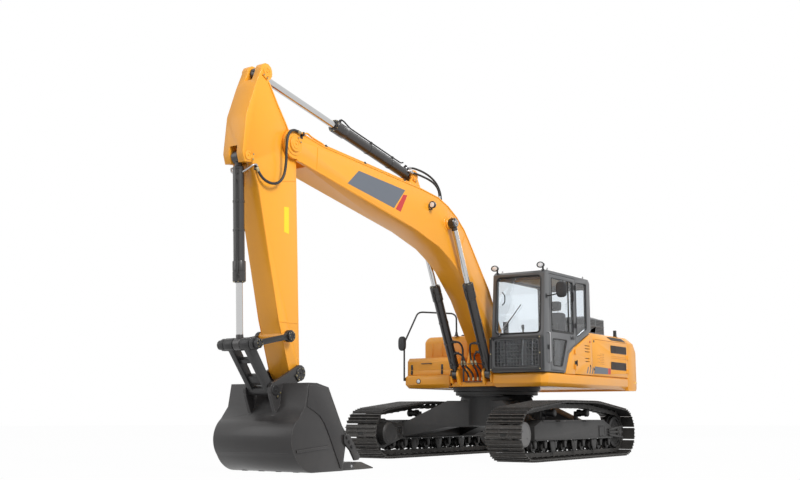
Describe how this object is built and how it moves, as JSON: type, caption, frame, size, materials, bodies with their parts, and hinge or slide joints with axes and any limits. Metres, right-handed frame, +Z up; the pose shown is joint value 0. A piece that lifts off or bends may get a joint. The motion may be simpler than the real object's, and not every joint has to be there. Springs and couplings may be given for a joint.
{
  "type": "crawler excavator",
  "caption": "Crawler excavator with rubber-mounted cab, slewing house, two-piece digging arm, bucket linkage, opening side doors, hood and toolbox lid.",
  "frame": {"origin": "point where the slew axis meets the ground", "axes": "+X forward along the boom, +Y to the machine's left (the cab side), +Z up"},
  "size_m": [9.635, 3.31, 5.1414],
  "materials": {
    "barrel_paint": "satin",
    "black_plastic": "matte",
    "bucket_paint": "satin",
    "cab_glass": "gloss",
    "cab_grey_paint": "satin",
    "chrome_rod": "polished",
    "deck_grey_paint": "satin",
    "engine_grey": "matte",
    "frame_black_paint": "satin",
    "link_paint": "satin",
    "machined_steel": "satin",
    "orange_paint": "satin",
    "seat_fabric": "matte",
    "tooth_steel": "matte",
    "track_steel": "matte"
  },
  "bodies": {
    "undercarriage": {"bottom_rollers": "frame_black_paint", "car_body": "frame_black_paint", "drive_sprockets": "frame_black_paint", "idlers": "frame_black_paint", "slew_ring_base": "machined_steel", "top_rollers": "frame_black_paint", "track_frames": "frame_black_paint", "track_left": "track_steel", "track_right": "track_steel", "travel_motors": "frame_black_paint"},
    "house": {"body_panels": "orange_paint", "cab_frame": "cab_grey_paint", "cab_guard": "black_plastic", "cab_lamps": "black_plastic", "cab_windows": "cab_glass", "consoles": "black_plastic", "counterweight": "orange_paint", "deck_skirts": "orange_paint", "engine": "engine_grey", "exhaust_pipe": "frame_black_paint", "fuel_tank": "orange_paint", "handrails": "frame_black_paint", "house_frame": "deck_grey_paint", "mirrors": "black_plastic", "seat": "seat_fabric", "slew_ring_top": "frame_black_paint", "toolbox": "orange_paint"},
    "boom_body": {"boom": "orange_paint", "boom_pipes": "frame_black_paint", "boom_lamp": "black_plastic"},
    "arm_body": {"arm": "orange_paint"},
    "bucket_body": {"bucket": "bucket_paint", "bucket_teeth": "tooth_steel"},
    "tipping_links_body": {"tipping_links": "link_paint"},
    "bucket_link_body": {"bucket_link": "link_paint"},
    "left_front_door_body": {"left_front_door": "orange_paint"},
    "left_rear_door_body": {"left_rear_door": "orange_paint"},
    "right_door_body": {"right_door": "orange_paint"},
    "engine_hood_body": {"engine_hood": "orange_paint", "hood_vent": "black_plastic"},
    "toolbox_lid_body": {"toolbox_lid": "orange_paint"},
    "cab_door_body": {"cab_door": "cab_grey_paint", "cab_door_window": "cab_glass"},
    "boom_cylinder_left_barrel_body": {"boom_cylinder_left_barrel": "barrel_paint"},
    "boom_cylinder_left_rod_body": {"boom_cylinder_left_rod": "chrome_rod"},
    "boom_cylinder_right_barrel_body": {"boom_cylinder_right_barrel": "barrel_paint"},
    "boom_cylinder_right_rod_body": {"boom_cylinder_right_rod": "chrome_rod"},
    "arm_cylinder_barrel_body": {"arm_cylinder_barrel": "barrel_paint"},
    "arm_cylinder_rod_body": {"arm_cylinder_rod": "chrome_rod"},
    "bucket_cylinder_barrel_body": {"bucket_cylinder_barrel": "barrel_paint"},
    "bucket_cylinder_rod_body": {"bucket_cylinder_rod": "chrome_rod"}
  },
  "joints": [
    {"name": "slew", "type": "hinge", "parent": "undercarriage", "child": "house", "pos_m": [0, 0, 1.085], "axis": [0, 0, 1], "continuous": true},
    {"name": "boom_pivot", "type": "hinge", "parent": "house", "child": "boom_body", "pos_m": [0.3, 0, 1.87], "axis": [0, -1, 0], "range_deg": [-55, 45]},
    {"name": "arm_pivot", "type": "hinge", "parent": "boom_body", "child": "arm_body", "pos_m": [5.68, 0, 4.18], "axis": [0, 1, 0], "range_deg": [-82, 22]},
    {"name": "bucket_pivot", "type": "hinge", "parent": "arm_body", "child": "bucket_body", "pos_m": [5.5, 0, 1.22], "axis": [0, 1, 0], "range_deg": [-60, 75]},
    {"name": "boom_cylinder_left_foot", "type": "hinge", "parent": "house", "child": "boom_cylinder_left_barrel_body", "pos_m": [0.803, 0.312, 1.36], "axis": [0, -1, 0], "range_deg": [-51.95, 42.68]},
    {"name": "boom_cylinder_left_stroke", "type": "slide", "parent": "boom_cylinder_left_barrel_body", "child": "boom_cylinder_left_rod_body", "axis": [0.4223, 0, 0.9064], "range_m": [-0.63, 0.51]},
    {"name": "boom_cylinder_right_foot", "type": "hinge", "parent": "house", "child": "boom_cylinder_right_barrel_body", "pos_m": [0.803, -0.312, 1.36], "axis": [0, -1, 0], "range_deg": [-51.95, 42.68]},
    {"name": "boom_cylinder_right_stroke", "type": "slide", "parent": "boom_cylinder_right_barrel_body", "child": "boom_cylinder_right_rod_body", "axis": [0.4223, 0, 0.9064], "range_m": [-0.63, 0.51]},
    {"name": "arm_cylinder_foot", "type": "hinge", "parent": "boom_body", "child": "arm_cylinder_barrel_body", "pos_m": [2.66, 0, 4.34], "axis": [0, 1, 0], "range_deg": [-6.94, 2.59]},
    {"name": "arm_cylinder_stroke", "type": "slide", "parent": "arm_cylinder_barrel_body", "child": "arm_cylinder_rod_body", "axis": [0.9814, 0, 0.1918], "range_m": [-1.27, 0.35]},
    {"name": "bucket_cylinder_foot", "type": "hinge", "parent": "arm_body", "child": "bucket_cylinder_barrel_body", "pos_m": [6.5, 0, 3.87], "axis": [0, 1, 0], "range_deg": [-3.24, 3.8]},
    {"name": "bucket_cylinder_stroke", "type": "slide", "parent": "bucket_cylinder_barrel_body", "child": "bucket_cylinder_rod_body", "axis": [-0.0473, 0, -0.9989], "range_m": [-0.53, 0.66]},
    {"name": "tipping_links_pivot", "type": "hinge", "parent": "arm_body", "child": "tipping_links_body", "pos_m": [5.747, 0, 1.673], "axis": [0, 1, 0], "range_deg": [-51.22, 63.77]},
    {"name": "bucket_link_pivot", "type": "hinge", "parent": "tipping_links_body", "child": "bucket_link_body", "pos_m": [6.39, 0, 1.545], "axis": [0, 1, 0], "range_deg": [-47.95, 38.56]},
    {"name": "cab_door_hinge", "type": "hinge", "parent": "house", "child": "cab_door_body", "pos_m": [-0.29, 1.385, 2.2], "axis": [0, 0, 1], "range_deg": [0, 165]},
    {"name": "left_front_door_hinge", "type": "hinge", "parent": "house", "child": "left_front_door_body", "pos_m": [-0.23, 1.372, 1.7], "axis": [0, 0, -1], "range_deg": [0, 100]},
    {"name": "left_rear_door_hinge", "type": "hinge", "parent": "house", "child": "left_rear_door_body", "pos_m": [-2.48, 1.372, 1.7], "axis": [0, 0, 1], "range_deg": [0, 100]},
    {"name": "right_door_hinge", "type": "hinge", "parent": "house", "child": "right_door_body", "pos_m": [-1.18, -1.372, 1.7], "axis": [0, 0, 1], "range_deg": [0, 100]},
    {"name": "engine_hood_hinge", "type": "hinge", "parent": "house", "child": "engine_hood_body", "pos_m": [-1.15, 0, 2.12], "axis": [0, 1, 0], "range_deg": [0, 60]},
    {"name": "toolbox_lid_hinge", "type": "hinge", "parent": "house", "child": "toolbox_lid_body", "pos_m": [0.172, -0.92, 1.672], "axis": [0, -1, 0], "range_deg": [0, 70]}
  ],
  "couplings": [
    {"joint": "boom_cylinder_left_foot", "follows": "boom_pivot", "ratio": 0.9263},
    {"joint": "boom_cylinder_left_stroke", "follows": "boom_pivot", "m_per_rad": 0.6408},
    {"joint": "boom_cylinder_right_foot", "follows": "boom_pivot", "ratio": 0.9263},
    {"joint": "boom_cylinder_right_stroke", "follows": "boom_pivot", "m_per_rad": 0.6408},
    {"joint": "arm_cylinder_foot", "follows": "arm_pivot", "ratio": 0.0724},
    {"joint": "arm_cylinder_stroke", "follows": "arm_pivot", "m_per_rad": 0.8802},
    {"joint": "bucket_cylinder_foot", "follows": "bucket_pivot", "ratio": 0.0373},
    {"joint": "bucket_cylinder_stroke", "follows": "bucket_pivot", "m_per_rad": 0.4961},
    {"joint": "tipping_links_pivot", "follows": "bucket_pivot", "ratio": 0.837},
    {"joint": "bucket_link_pivot", "follows": "bucket_pivot", "ratio": -0.626}
  ]
}
